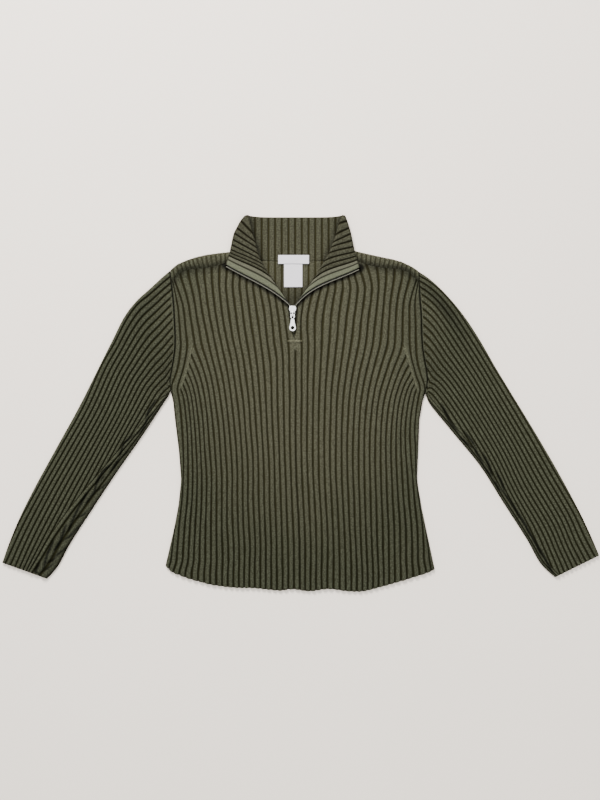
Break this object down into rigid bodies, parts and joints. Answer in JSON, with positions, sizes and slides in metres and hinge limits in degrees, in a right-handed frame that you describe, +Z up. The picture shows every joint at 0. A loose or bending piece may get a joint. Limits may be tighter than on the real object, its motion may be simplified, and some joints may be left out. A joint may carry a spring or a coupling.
{
  "type": "quarter zip sweater",
  "caption": "Ribbed long-sleeved sweater laid flat, with a turned-down collar, a short zip at the neck and a hinged zip pull.",
  "frame": {"origin": "on the floor under the middle of the laid sweater's box", "axes": "+Z up from the floor, +Y towards the collar, +X towards the sleeve on the wearer's left"},
  "size_m": [1.1175, 0.7069, 0.0133],
  "materials": {
    "knit": "2 by 2 rib knit, heathered olive green, matt",
    "facing": "plain woven tape, grey green, matt",
    "zip_tape": "woven zip tape with coil teeth, dark",
    "metal": "bright nickel, lightly worn",
    "label": "blank woven satin, white"
  },
  "bodies": {
    "sweater": {"back": "knit", "front": "knit", "sleeve_left": "knit", "sleeve_right": "knit", "collar": "knit", "zip_facing_left": "facing", "zip_facing_right": "facing", "zip_chain_left": "zip_tape", "zip_chain_right": "zip_tape", "slider": "metal", "neck_label": "label", "care_label": "label"},
    "pull": {"zip_pull": "metal"}
  },
  "joints": [
    {"name": "pull_hinge", "type": "hinge", "parent": "sweater", "child": "pull", "pos_m": [-0.0139, 0.1647, 0.0105], "axis": [-1, 0, 0], "range_deg": [0, 150]}
  ]
}
